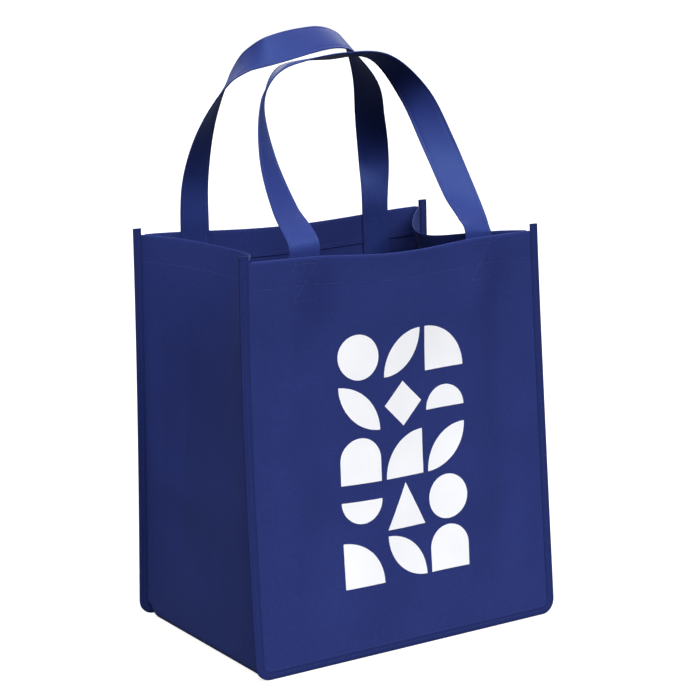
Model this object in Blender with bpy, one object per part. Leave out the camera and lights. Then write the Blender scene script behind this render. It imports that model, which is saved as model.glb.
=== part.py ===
"""Reusable shopping bag of non-woven cloth, standing open and empty.

The bag is sewn from flat cuts. A front and a back panel stand on either side of one long
gusset strip, which runs down the left side, under the bottom and up the right side. The
edges are laid together as flanges that point outwards, and a folded tape binds each of them.
Two webbing handles are sewn inside the hems, and a loose board stiffens the bottom.

Every cut is laid out here as part of a plain box, and settle() then moves each of its
points to where it is in the bag as it stands, with its gussets folding inwards.

Metres, +Z up. The front faces -Y, and the origin is on the floor under the middle of the base.
"""
import math

import bmesh
import bpy
from mathutils import Vector
from mathutils.geometry import interpolate_bezier

# The bag
BAG_WIDTH = 0.334          # between the two side seams, at the floor
BAG_HEIGHT = 0.388         # floor to rim
BASE_DEPTH = 0.225         # between the front and the back seam, at the floor
RIM_DEPTH = 0.191          # the same at the rim, which is drawn in
RIM_LEAN = 0.009           # how far the rim's middle stands behind the base's
RIM_SWAY = 0.0043          # how far it stands to the left of the base's
FRONT_PINCH = 0.006        # how far each side seam of the front panel leans in at the rim
BACK_PINCH = 0.002         # the same on the back panel
LEFT_FOLD = 0.048          # how far the left gusset folds inwards at the rim
RIGHT_FOLD = 0.062         # the same on the right
DRAW_SHAPE = 1.6           # power by which the front and back walls lean in, mostly low down
FOLD_GROWTH = 2.2          # power by which the folds and the rim's bow fade towards the base
FRONT_BOW = 0.007          # how far the front panel bows forwards at the rim
RIM_SAG = 0.005            # how far the front rim sags between its handles
BACK_SAG = 0.0062          # how far the back rim sags between its seams

# Cloth, seams and hems
CLOTH = 0.0005             # thickness of the non-woven sheet
TAPE = 0.0004              # thickness of the binding tape
FIT = 0.0003               # gap between pieces that touch
FLANGE = 0.0085            # seam allowance outside the seam line
HEM = 0.030                # depth of the hem that is turned inside the rim
HEM_INSET = 0.004          # how far a turned hem stops short of the seams
TAB = 0.006                # how far the binding tape stands above the rim
REAR_INSET = 0.001         # how far the tape's rear leg stops short of the seam
CORNER_RADIUS = 0.006      # of the seam line at the two bottom corners
BASE_SAG_RUN = 0.014       # distance over which the bottom drops from its seams to the floor
BASE_SAG_RISE = 0.030      # height over which the side walls take up that drop

# Handles
WEBBING_WIDTH = 0.032
WEBBING = 0.0014           # thickness of the handle webbing
HANDLE_SPACING = 0.212     # between the middles of a handle's two ends
HANDLE_RISE = 0.178        # of the handles above the rim
HANDLE_TAIL = 0.045        # length sewn inside the panel
HANDLE_STAND = 0.003       # height above the rim at which the webbing starts to bend

# Base board
BOARD = 0.0018             # thickness
BOARD_CLEARANCE = 0.002    # to the bottom's folds on each side

# Print, a block of plain geometric shapes on the front
PRINT_COLUMNS = 3
PRINT_ROWS = 5
PRINT_TILE = 0.044         # width and height of one shape
PRINT_SPACE = 0.006        # between neighbouring shapes
PRINT_LIFT = 0.190         # height of the block's middle above the floor
INK = 0.0002               # thickness of the ink layer

# Divisions of the meshes, which let the cloth bend
PANEL_COLUMNS = 16
SIDE_ROWS = 20
GUSSET_COLUMNS = 12
HANDLE_STEPS = 5           # between two stations of a handle's route
CORNER_STEPS = 2
ARC_STEPS = 16             # in half a circle of the print
PRINT_BEND = PRINT_TILE / 2

# What follows from the sizes above
HALF_WIDTH = BAG_WIDTH / 2
HALF_DEPTH = BASE_DEPTH / 2
SEAM_HEIGHT = FLANGE + FIT + TAPE
STACK = 2 * CLOTH + FIT            # a panel and the cloth lying against it
SEAM_DEPTH = STACK + FIT + TAPE    # what lies inside the outer face at a bound seam
BASE_FLAT = HALF_DEPTH - SEAM_DEPTH - BASE_SAG_RUN     # half the depth that lies on the floor
TAIL_DEPTH = STACK + FIT + WEBBING / 2

# Where each handle's left and right tails are sewn, as shares of half the spacing.
FRONT_TAILS = (-1.00, 0.94)
BACK_TAILS = (-1.02, 1.03)

# Each handle's route from the left end to the right: across as a share of half the spacing,
# back from the front panel's rim and up from the rim as shares of the handle's rise, and the
# webbing's turn in degrees, where 0 faces front and 90 lies flat like a belt over a shoulder.
FRONT_ROUTE = [
    (-1.00, 0.05, 0.08, -6),
    (-1.00, 0.22, 0.23, 8),
    (-0.96, 0.41, 0.46, 25),
    (-0.845, 0.57, 0.71, 48),
    (-0.715, 0.61, 0.84, 64),
    (-0.50, 0.63, 0.92, 82),
    (0.00, 0.62, 0.95, 75),
    (0.48, 0.63, 0.93, 79),
    (0.81, 0.58, 0.72, 55),
    (0.90, 0.424, 0.46, 38),
    (0.896, 0.226, 0.22, 26),
    (0.873, 0.076, 0.08, 4),
]
BACK_ROUTE = [
    (-1.02, 1.11, 0.28, 9),
    (-0.97, 1.03, 0.57, 33),
    (-0.87, 0.89, 0.83, 64),
    (-0.76, 0.81, 0.93, 100),
    (-0.57, 0.73, 0.99, 136),
    (-0.08, 0.74, 1.04, 131),
    (0.16, 0.76, 1.03, 121),
    (0.37, 0.82, 0.97, 112),
    (0.67, 0.93, 0.77, 79),
    (0.89, 1.08, 0.55, 56),
    (1.03, 1.16, 0.28, 24),
]

NAVY_CLOTH = (0.020, 0.026, 0.130, 1)
NAVY_TAPE = (0.018, 0.024, 0.115, 1)
NAVY_WEBBING = (0.034, 0.048, 0.230, 1)
WHITE_INK = (0.80, 0.81, 0.84, 1)
GREY_BOARD = (0.30, 0.30, 0.31, 1)


def smooth(t):
    """Rise from 0 to 1 with no kink at either end."""
    t = min(max(t, 0.0), 1.0)
    return t * t * (3 - 2 * t)


def settle(point):
    """Give a point of the plain box its place in the bag as it stands."""
    x, y, z = point
    up = max(z, 0.0) / BAG_HEIGHT
    drawn_in = 1 - max(1 - up, 0.0) ** DRAW_SHAPE
    high = up ** FOLD_GROWTH
    back = smooth((y + HALF_DEPTH) / BASE_DEPTH)
    half_loss = (BASE_DEPTH - RIM_DEPTH) / 2
    across = min(abs(x) / HALF_WIDTH, 1.0)
    inside = max(HALF_DEPTH - SEAM_DEPTH - abs(y), 0.0)
    to_middle = min(inside / (HALF_DEPTH - SEAM_DEPTH), 1.0)

    fold = LEFT_FOLD if x < 0 else RIGHT_FOLD
    inward = fold * high * across * math.sin(math.pi / 2 * to_middle)
    bow = FRONT_BOW * high * (1 - across ** 2)
    between = max(1 - (2 * x / HANDLE_SPACING) ** 2, 0.0) ** 2
    rim_sag = high * (RIM_SAG * between * (1 - back) + BACK_SAG * (1 - across ** 2) ** 2 * back)
    base_sag = SEAM_HEIGHT * smooth(inside / BASE_SAG_RUN) * (1 - smooth((z - SEAM_HEIGHT) / BASE_SAG_RISE))

    inward += (FRONT_PINCH * (1 - back) + BACK_PINCH * back) * high * across
    front_shift = half_loss + RIM_LEAN
    back_shift = RIM_LEAN - half_loss
    y += drawn_in * (front_shift * (1 - back) + back_shift * back) - bow * (1 - back)
    z -= base_sag + rim_sag + inward ** 2 / BAG_HEIGHT
    return Vector((x - math.copysign(inward, x) - RIM_SWAY * high, y, z))


def from_face(side, depth):
    """The y of what lies depth behind the outer face of the front (-1) or back (1) panel."""
    return side * (HALF_DEPTH - depth)


def seam_line(top):
    """The seam's stations, from the left rim round the bottom to the right rim.

    Each is a place in x and z on the seam line and the direction out of the bag there. top
    lists the heights above the rim to which the line is carried on.
    """
    arc_height = SEAM_HEIGHT + CORNER_RADIUS
    side = [arc_height + (BAG_HEIGHT - arc_height) * i / SIDE_ROWS for i in range(SIDE_ROWS + 1)]
    side += [BAG_HEIGHT + extra for extra in top]
    arc_middle = HALF_WIDTH - CORNER_RADIUS
    left = [((-HALF_WIDTH, z), (-1.0, 0.0)) for z in reversed(side)]
    for i in range(1, CORNER_STEPS + 1):
        angle = math.pi / 2 * i / CORNER_STEPS
        out = (-math.cos(angle), -math.sin(angle))
        place = (CORNER_RADIUS * out[0] - arc_middle, CORNER_RADIUS * out[1] + arc_height)
        left.append((place, out))
    bottom = [((x, SEAM_HEIGHT), (0.0, -1.0)) for x in panel_columns()[3:-3]]
    right = [((-place[0], place[1]), (-out[0], out[1])) for place, out in reversed(left)]
    return left + bottom + right


def panel_columns():
    """The x of a panel's columns: its edges, the corner arcs' ends and an even division."""
    arc_middle = HALF_WIDTH - CORNER_RADIUS
    inner = [arc_middle * (2 * i / PANEL_COLUMNS - 1) for i in range(PANEL_COLUMNS + 1)]
    edge = [HALF_WIDTH - HEM_INSET, HALF_WIDTH + FLANGE]
    return [-x for x in reversed(edge)] + inner + edge


def round_corner(x, z):
    """Pull a point of a panel in to the rounded outline of its two bottom corners."""
    centre_x = HALF_WIDTH - CORNER_RADIUS
    centre_z = SEAM_HEIGHT + CORNER_RADIUS
    aside = abs(x) - centre_x
    below = centre_z - z
    if aside <= 0 or below <= 0:
        return x, z
    step = math.pi / 2 / CORNER_STEPS
    angle = math.atan2(below, aside)
    facet_middle = (min(angle // step, CORNER_STEPS - 1) + 0.5) * step
    limit = (CORNER_RADIUS + FLANGE) * math.cos(step / 2) / math.cos(angle - facet_middle)
    share = min(limit / math.hypot(aside, below), 1.0)
    return math.copysign(centre_x + aside * share, x), centre_z - below * share


def make_object(name, mesh, material, thickness=0.0):
    """Put a finished mesh into the scene, thickened inwards if it is a single skin of cloth."""
    if not thickness:
        bmesh.ops.recalc_face_normals(mesh, faces=mesh.faces)
    data = bpy.data.meshes.new(name)
    mesh.to_mesh(data)
    mesh.free()
    piece = bpy.data.objects.new(name, data)
    bpy.context.scene.collection.objects.link(piece)
    data.materials.append(material)
    if thickness:
        solidify = piece.modifiers.new("Cloth thickness", "SOLIDIFY")
        solidify.thickness = thickness
        solidify.offset = -1
        solidify.use_even_offset = True
    return piece


def flat_cut(rows, columns, place):
    """A flat cut of cloth as a grid, each of its points put where place(row, column) says.

    Where place gives nothing, the cloth is cut away.
    """
    mesh = bmesh.new()
    bmesh.ops.create_grid(mesh, x_segments=rows - 1, y_segments=columns - 1, size=1)
    waste = []
    for vert in mesh.verts:
        row = round((vert.co.x + 1) / 2 * (rows - 1))
        column = round((vert.co.y + 1) / 2 * (columns - 1))
        spot = place(row, column)
        if spot is None:
            waste.append(vert)
        else:
            vert.co = spot
    bmesh.ops.delete(mesh, geom=waste, context="VERTS")
    return mesh


def face_out(mesh, outward):
    """Turn a single skin of cloth so that its first face looks along outward."""
    mesh.faces.ensure_lookup_table()
    bmesh.ops.recalc_face_normals(mesh, faces=mesh.faces)
    lead = max(mesh.faces, key=lambda face: face.calc_center_median().dot(outward))
    if lead.normal.dot(outward) < 0:
        bmesh.ops.reverse_faces(mesh, faces=mesh.faces)


def swept(sections):
    """A solid that passes through sections, which are closed outlines of equal point counts."""
    mesh = bmesh.new()
    start = end = mesh.faces.new([mesh.verts.new(point) for point in sections[0]])
    for section in sections[1:]:
        grown = bmesh.ops.extrude_face_region(mesh, geom=[end])["geom"]
        if end is not start:
            bmesh.ops.delete(mesh, geom=[end], context="FACES_ONLY")
        end = next(item for item in grown if isinstance(item, bmesh.types.BMFace))
        for vert, point in zip(end.verts, section):
            vert.co = point
    return mesh


def make_panel(name, side, material):
    """The front (-1) or back (1) panel, with the hem turned inside its rim."""
    xs = panel_columns()
    arc_height = SEAM_HEIGHT + CORNER_RADIUS
    rises = [(BAG_HEIGHT - arc_height) * i / SIDE_ROWS for i in range(SIDE_ROWS + 1)]
    path = [(SEAM_HEIGHT - FLANGE, 0.0), (SEAM_HEIGHT, 0.0)]
    path += [(arc_height + rise, 0.0) for rise in rises]
    rim_row = len(path) - 1
    path += [(BAG_HEIGHT, STACK), (BAG_HEIGHT - HEM / 2, STACK), (BAG_HEIGHT - HEM, STACK)]

    def place(row, column):
        z, depth = path[row]
        if row > rim_row and column in (0, len(xs) - 1):
            return None
        x, z = round_corner(xs[column], z)
        return settle((x, from_face(side, depth), z))

    mesh = flat_cut(len(path), len(xs), place)
    face_out(mesh, Vector((0, side, 0)))
    return make_object(name, mesh, material, CLOTH)


def make_gusset_strip(name, material):
    """Left side, bottom and right side in one strip, its long edges turned out as flanges."""
    drops = [0.0, HEM / 2, HEM]
    left_hem = [((-HALF_WIDTH, BAG_HEIGHT - drop), (-1.0, 0.0), STACK) for drop in reversed(drops)]
    right_hem = [((HALF_WIDTH, BAG_HEIGHT - drop), (1.0, 0.0), STACK) for drop in drops]
    stations = left_hem + [(place, out, 0.0) for place, out in seam_line([])] + right_hem
    hem_rows = (*range(len(drops)), *range(len(stations) - len(drops), len(stations)))
    web = HALF_DEPTH - STACK
    inner = HALF_DEPTH - HEM_INSET
    across = [BASE_FLAT * (2 * i / GUSSET_COLUMNS - 1) for i in range(GUSSET_COLUMNS + 1)]
    across = [-web, -inner] + across + [inner, web]
    columns = [(-web, FLANGE)] + [(y, 0.0) for y in across] + [(web, FLANGE)]

    def place(row, column):
        (x, z), out, inset = stations[row]
        y, turned_out = columns[column]
        if row in hem_rows and column in (0, 1, len(columns) - 2, len(columns) - 1):
            return None
        reach = turned_out - inset
        return settle((x + out[0] * reach, y, z + out[1] * reach))

    mesh = flat_cut(len(stations), len(columns), place)
    face_out(mesh, Vector((0, 0, -1)))
    return make_object(name, mesh, material, CLOTH)


def make_binding(name, side, material):
    """Tape folded round the flanges of the front (-1) or back (1) seam, with two standing tabs."""
    rim = FLANGE + FIT
    face = -FIT
    rear = STACK + FIT
    outline = [(0.0, face - TAPE), (rim + TAPE, face - TAPE), (rim + TAPE, rear + TAPE),
               (REAR_INSET, rear + TAPE), (REAR_INSET, rear), (rim, rear),
               (rim, face), (0.0, face)]
    sections = []
    for (x, z), out in seam_line([TAB]):
        sections.append([settle((x + out[0] * reach, from_face(side, depth), z + out[1] * reach))
                         for reach, depth in outline])
    return make_object(name, swept(sections), material)


def smooth_route(stations):
    """Points and turns on a smooth curve through stations, which are rows of four numbers.

    Its first and last stretches are straight.
    """
    points = [Vector(station[:3]) for station in stations]
    turns = [Vector((station[3], 0.0, 0.0)) for station in stations]
    runs = [(after - before).length for before, after in zip(points, points[1:])]
    lengths = [sum(runs[:i]) for i in range(len(points))]
    curves = []
    for knots in (points, turns):
        slopes = [(after - before) / (later - earlier) for before, after, earlier, later
                  in zip(knots, knots[2:], lengths, lengths[2:])]
        first = (knots[1] - knots[0]) / runs[0]
        last = (knots[-1] - knots[-2]) / runs[-1]
        slopes = [first, first] + slopes[1:-1] + [last, last]
        line = [knots[0]]
        for i, run in enumerate(runs):
            lead = knots[i] + slopes[i] * run / 3
            tail = knots[i + 1] - slopes[i + 1] * run / 3
            line += interpolate_bezier(knots[i], lead, tail, knots[i + 1], HANDLE_STEPS + 1)[1:]
        curves.append(line)
    return curves[0], [turn.x for turn in curves[1]]


def make_handle(name, side, tails, route, material):
    """A webbing handle: both tails inside the panel and the free arch between them."""
    half_spacing = HANDLE_SPACING / 2
    y_tail = from_face(side, TAIL_DEPTH)

    def tail(across):
        x = across * half_spacing
        stations = []
        for z in (BAG_HEIGHT - HANDLE_TAIL, BAG_HEIGHT + HANDLE_STAND):
            left = settle((x - WEBBING_WIDTH / 2, y_tail, z))
            right = settle((x + WEBBING_WIDTH / 2, y_tail, z))
            slope = math.degrees(math.atan2(right.y - left.y, right.x - left.x))
            stations.append((*((left + right) / 2), slope if x < 0 else -slope))
        return stations

    front_rim = settle((0.0, from_face(-1, 0.0), BAG_HEIGHT))
    free = []
    for across, back, up, turn in route:
        free.append((across * half_spacing, front_rim.y + back * HANDLE_RISE,
                     BAG_HEIGHT + up * HANDLE_RISE, turn))
    stations = tail(tails[0]) + free + tail(tails[1])[::-1]
    points, turns = smooth_route(stations)
    sections = []
    for i, (point, turn) in enumerate(zip(points, turns)):
        ahead = (points[min(i + 1, len(points) - 1)] - points[max(i - 1, 0)]).normalized()
        outwards = Vector((-ahead.z, 0.0, ahead.x)).normalized()
        sideways = ahead.cross(outwards)
        angle = math.radians(turn)
        wide = (outwards * math.cos(angle) + sideways * math.sin(angle)) * WEBBING_WIDTH / 2
        thick = ahead.cross(wide).normalized() * WEBBING / 2
        sections.append([point + wide + thick, point - wide + thick,
                         point - wide - thick, point + wide - thick])
    return make_object(name, swept(sections), material)


def make_board(name, material):
    """The loose board that lies on the bottom."""
    mesh = bmesh.new()
    bmesh.ops.create_cube(mesh, size=1)
    length = 2 * (HALF_WIDTH - CORNER_RADIUS - BOARD_CLEARANCE)
    depth = 2 * (BASE_FLAT - BOARD_CLEARANCE)
    bmesh.ops.scale(mesh, vec=(length, depth, BOARD), verts=mesh.verts)
    lift = CLOTH + FIT + BOARD / 2
    bmesh.ops.translate(mesh, vec=(0, 0, lift), verts=mesh.verts)
    return make_object(name, mesh, material)


def arc(centre, radius, start, stop):
    """Points along an arc, its angles in degrees, in a tile's own x and z."""
    steps = max(2, round(ARC_STEPS * abs(stop - start) / 180))
    angles = [math.radians(start + (stop - start) * i / steps) for i in range(steps + 1)]
    return [(centre[0] + radius * math.cos(a), centre[1] + radius * math.sin(a)) for a in angles]


def print_shapes():
    """The outlines used in the print, in a tile that reaches from -0.5 to 0.5."""
    leaf = arc((-0.5, 0.5), 1, -90, 0)[:-1] + arc((0.5, -0.5), 1, 90, 180)[:-1]
    return {
        "leaf": leaf,
        "leaf_mirrored": [(-x, z) for x, z in reversed(leaf)],
        "disc": arc((0, 0), 0.5, 0, 360)[:-1],
        "quarter": [(-0.5, -0.5)] + arc((-0.5, -0.5), 1, 0, 90),
        "quarter_mirrored": [(0.5, -0.5)] + arc((0.5, -0.5), 1, 90, 180),
        "bowl": arc((0, 0.25), 0.5, 180, 360),
        "dome": arc((0, -0.25), 0.5, 0, 180),
        "diamond": [(0.5, 0), (0, 0.5), (-0.5, 0), (0, -0.5)],
        "arch": [(-0.5, -0.5), (0.5, -0.5)] + arc((0, 0), 0.5, 0, 180),
        "peak": [(-0.5, -0.5), (0.5, -0.5), (0, 0.5)],
    }


PRINT_LAYOUT = [
    ["disc", "leaf", "quarter"],
    ["leaf_mirrored", "diamond", "dome"],
    ["arch", "quarter_mirrored", "leaf"],
    ["bowl", "peak", "disc"],
    ["quarter", "leaf_mirrored", "arch"],
]


def make_print_shape(name, outline, middle_x, middle_z, material):
    """One white shape, a thin layer of ink that follows the front panel."""
    mesh = bmesh.new()
    ink_back = from_face(-1, -FIT)
    corners = [mesh.verts.new((middle_x + x * PRINT_TILE, ink_back, middle_z + z * PRINT_TILE))
               for x, z in outline]
    base = mesh.faces.new(corners)
    raised = bmesh.ops.extrude_face_region(mesh, geom=[base])["geom"]
    raised = [item for item in raised if isinstance(item, bmesh.types.BMVert)]
    bmesh.ops.translate(mesh, vec=(0, -INK, 0), verts=raised)
    for axis, middle in ((0, middle_x), (2, middle_z)):
        normal = [0.0, 0.0, 0.0]
        normal[axis] = 1.0
        for step in (-1, 0, 1):
            spot = [0.0, 0.0, 0.0]
            spot[axis] = middle + step * PRINT_BEND / 2
            geom = mesh.verts[:] + mesh.edges[:] + mesh.faces[:]
            bmesh.ops.bisect_plane(mesh, geom=geom, dist=1e-6, plane_co=spot, plane_no=normal)
    for vert in mesh.verts:
        vert.co = settle(vert.co)
    return make_object(name, mesh, material)


def make_print(material):
    """The block of shapes on the front panel."""
    shapes = print_shapes()
    pitch = PRINT_TILE + PRINT_SPACE
    for row in range(PRINT_ROWS):
        for column in range(PRINT_COLUMNS):
            kinds = PRINT_LAYOUT[row % len(PRINT_LAYOUT)]
            shape = shapes[kinds[column % len(kinds)]]
            x = (column - (PRINT_COLUMNS - 1) / 2) * pitch
            z = PRINT_LIFT + ((PRINT_ROWS - 1) / 2 - row) * pitch
            make_print_shape(f"print_row{row + 1}_{column + 1}", shape, x, z, material)


def make_material(name, colour, roughness):
    material = bpy.data.materials.new(name)
    material.use_nodes = True
    shader = material.node_tree.nodes["Principled BSDF"]
    shader.inputs["Base Color"].default_value = colour
    shader.inputs["Roughness"].default_value = roughness
    shader.inputs["Metallic"].default_value = 0.0
    return material


def main():
    for old in list(bpy.data.objects):
        bpy.data.objects.remove(old, do_unlink=True)
    make_panel("front_panel", -1, make_material("Front panel cloth", NAVY_CLOTH, 0.85))
    make_panel("back_panel", 1, make_material("Back panel cloth", NAVY_CLOTH, 0.85))
    make_gusset_strip("gusset_strip", make_material("Gusset cloth", NAVY_CLOTH, 0.85))
    make_binding("front_binding", -1, make_material("Front binding tape", NAVY_TAPE, 0.8))
    make_binding("back_binding", 1, make_material("Back binding tape", NAVY_TAPE, 0.8))
    front_webbing = make_material("Front handle webbing", NAVY_WEBBING, 0.75)
    back_webbing = make_material("Back handle webbing", NAVY_WEBBING, 0.75)
    make_handle("front_handle", -1, FRONT_TAILS, FRONT_ROUTE, front_webbing)
    make_handle("back_handle", 1, BACK_TAILS, BACK_ROUTE, back_webbing)
    make_board("base_board", make_material("Board", GREY_BOARD, 0.7))
    make_print(make_material("White ink", WHITE_INK, 0.6))


main()
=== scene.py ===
"""Looks of the non-woven shopping bag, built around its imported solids.

Each cut of cloth, each tape and each handle is made again here at a finer grain, on the same
lines as its solid: the cut is laid out as part of a plain box, and drape() moves its points
to where they are in the bag as it stands, soft waves of the cloth included.
"""
import math

import bmesh
import bpy
from mathutils import Matrix, Vector, noise
from mathutils.geometry import interpolate_bezier


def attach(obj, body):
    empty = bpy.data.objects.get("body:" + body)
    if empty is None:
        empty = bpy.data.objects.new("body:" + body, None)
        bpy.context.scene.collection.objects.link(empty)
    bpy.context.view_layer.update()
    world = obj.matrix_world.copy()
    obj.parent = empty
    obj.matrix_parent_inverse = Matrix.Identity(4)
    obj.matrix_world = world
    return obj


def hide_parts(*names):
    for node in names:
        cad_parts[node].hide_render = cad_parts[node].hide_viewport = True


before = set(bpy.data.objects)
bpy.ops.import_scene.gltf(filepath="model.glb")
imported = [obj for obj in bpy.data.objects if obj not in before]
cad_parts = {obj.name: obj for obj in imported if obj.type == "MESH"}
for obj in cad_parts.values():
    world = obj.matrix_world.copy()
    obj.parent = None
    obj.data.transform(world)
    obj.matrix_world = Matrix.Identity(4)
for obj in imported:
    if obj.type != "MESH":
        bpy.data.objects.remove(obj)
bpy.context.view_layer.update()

# The bag's sizes, as its solids have them, in metres
BAG_WIDTH = 0.334
BAG_HEIGHT = 0.388
BASE_DEPTH = 0.225
RIM_DEPTH = 0.191
RIM_LEAN = 0.009
RIM_SWAY = 0.0043
FRONT_PINCH = 0.006
BACK_PINCH = 0.002
LEFT_FOLD = 0.048
RIGHT_FOLD = 0.062
DRAW_SHAPE = 1.6
FOLD_GROWTH = 2.2
FRONT_BOW = 0.007
RIM_SAG = 0.005
BACK_SAG = 0.0062
CLOTH = 0.0005
TAPE = 0.0004
FIT = 0.0003
FLANGE = 0.0085
HEM = 0.030
HEM_INSET = 0.004
TAB = 0.006
REAR_INSET = 0.001
CORNER_RADIUS = 0.006
BASE_SAG_RUN = 0.014
BASE_SAG_RISE = 0.030
WEBBING_WIDTH = 0.032
WEBBING = 0.0014
HANDLE_SPACING = 0.212
HANDLE_RISE = 0.178
HANDLE_TAIL = 0.045
HANDLE_STAND = 0.003
BOARD = 0.0018
BOARD_CLEARANCE = 0.002
PRINT_TILE = 0.044
PRINT_SPACE = 0.006
PRINT_LIFT = 0.190

HALF_WIDTH = BAG_WIDTH / 2
HALF_DEPTH = BASE_DEPTH / 2
SEAM_HEIGHT = FLANGE + FIT + TAPE
STACK = 2 * CLOTH + FIT
SEAM_DEPTH = STACK + FIT + TAPE
BASE_FLAT = HALF_DEPTH - SEAM_DEPTH - BASE_SAG_RUN
CORNER_X = HALF_WIDTH - CORNER_RADIUS
CORNER_Z = SEAM_HEIGHT + CORNER_RADIUS
TAIL_DEPTH = STACK + FIT + WEBBING / 2

# The front is side -1 and the back side 1
FACES = {-1: "front", 1: "back"}

# Where each handle's left and right tails are sewn, as shares of half the spacing
TAILS = {-1: (-1.00, 0.94), 1: (-1.02, 1.03)}

# Each handle's route from left to right: across as a share of half the spacing, back from the
# front rim and up from the rim as shares of the rise, and the webbing's turn in degrees
FRONT_ROUTE = [
    (-1.00, 0.05, 0.08, -6),
    (-1.00, 0.22, 0.23, 8),
    (-0.96, 0.41, 0.46, 25),
    (-0.845, 0.57, 0.71, 48),
    (-0.715, 0.61, 0.84, 64),
    (-0.50, 0.63, 0.92, 82),
    (0.00, 0.62, 0.95, 75),
    (0.48, 0.63, 0.93, 79),
    (0.81, 0.58, 0.72, 55),
    (0.90, 0.424, 0.46, 38),
    (0.896, 0.226, 0.22, 26),
    (0.873, 0.076, 0.08, 4),
]
BACK_ROUTE = [
    (-1.02, 1.11, 0.28, 9),
    (-0.97, 1.03, 0.57, 33),
    (-0.87, 0.89, 0.83, 64),
    (-0.76, 0.81, 0.93, 100),
    (-0.57, 0.73, 0.99, 136),
    (-0.08, 0.74, 1.04, 131),
    (0.16, 0.76, 1.03, 121),
    (0.37, 0.82, 0.97, 112),
    (0.67, 0.93, 0.77, 79),
    (0.89, 1.08, 0.55, 56),
    (1.03, 1.16, 0.28, 24),
]
ROUTES = {-1: FRONT_ROUTE, 1: BACK_ROUTE}
PRINT_LAYOUT = [
    ["disc", "leaf", "quarter"],
    ["leaf_mirrored", "diamond", "dome"],
    ["arch", "quarter_mirrored", "leaf"],
    ["bowl", "peak", "disc"],
    ["quarter", "leaf_mirrored", "arch"],
]

# The grain of the finer meshes
WEAVE_STEP = 0.0031        # between two rows or columns of a cloth cut
TAPE_STEP = 0.0034         # between two sections of a binding
FOLD_STEPS = 5             # in a folded edge
CORNER_STEPS = 7           # in a bottom corner of the seam
HANDLE_STEPS = 9           # between two stations of a handle's route
ARC_STEPS = 28             # in half a circle of the print
SHARP_EDGE = math.radians(40)

# Thread
STITCH = 0.0027            # length of one stitch
STITCH_PITCH = 0.0034      # from one stitch to the next
THREAD = 0.00042           # thickness of the thread
HEM_STITCH = 0.0265        # distance of the hem's stitches below the rim
TAPE_STITCH = 0.0042       # distance of the binding's stitches outside the seam
WEBBING_STITCH = 0.0032    # distance of a handle's stitches from its edges
SUNK = 0.00002             # how deep stitches lie in cloth and webbing
TAPE_SUNK = 0.00004        # the same in tape
HEM_PULL = 0.00012         # how far the hem's stitches pull the cloth in
PULL_WIDTH = 0.0024        # over how much of its height
PUCKER = 0.00010           # height of the tape's puckers
BOX_INSET = 0.0035         # from a handle's edges to its sewn boxes
BOX_TOP = 0.006            # from the rim to the top of a box
BOX_FOOT = 0.004           # from a handle's end to the foot of a box

# Wear and a painted highlight, ink and board
RIM_RUB_AND_HIGHLIGHT = 0.0016           # half the width of the light line along a rim: wear, and a painted highlight on the fold
SEAM_RUB = 0.0022          # half the width of the worn line beside a seam
CREASE_RUB = 0.0015        # the same along a gusset's middle crease
INK_FOOT = 0.00005         # from the cloth to the ink's underside
INK_TOP = 0.00022          # from the cloth to the ink's face
BOARD_CORNER = 0.007       # radius of the board's corners
BOARD_EASE = 0.0004        # bevel of its edges

# Soft waves that run down a panel: x at the rim, x at the foot, width, how far out they stand
FRONT_WAVES = [
    (0.122, 0.128, 0.018, -0.0042),
    (0.084, 0.080, 0.024, 0.0030),
    (-0.012, -0.022, 0.045, 0.0024),
    (-0.090, -0.086, 0.019, -0.0036),
    (-0.124, -0.130, 0.016, 0.0020),
]
BACK_WAVES = [
    (-0.105, -0.090, 0.020, -0.0026),
    (0.012, 0.030, 0.045, 0.0028),
    (0.098, 0.110, 0.018, -0.0024),
]

# How long waves take to grow: in from the seams, up from the foot and down from the rim
PANEL_GROWTH = (0.035, 0.13, 0.07)
GUSSET_GROWTH = (0.022, 0.035, 0.05)
HAND_OVER = 0.02           # over which a panel's waves fade out on a gusset, and back

# The soft valley in the lower part of each gusset
LEFT_VALLEY = 0.055        # y of its deepest line
RIGHT_VALLEY = -0.003
VALLEY_TOP = 0.36
VALLEY_FOOT = 0.02
VALLEY_DEPTH = 0.0055
VALLEY_CREASE = 0.0012     # depth of the crease along that line
FRONT_STEP = 0.0028        # how far the left gusset drops in beside the front seam


def smooth(t):
    """Rise from 0 to 1 with no kink at either end."""
    t = min(max(t, 0.0), 1.0)
    return t * t * (3 - 2 * t)


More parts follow.
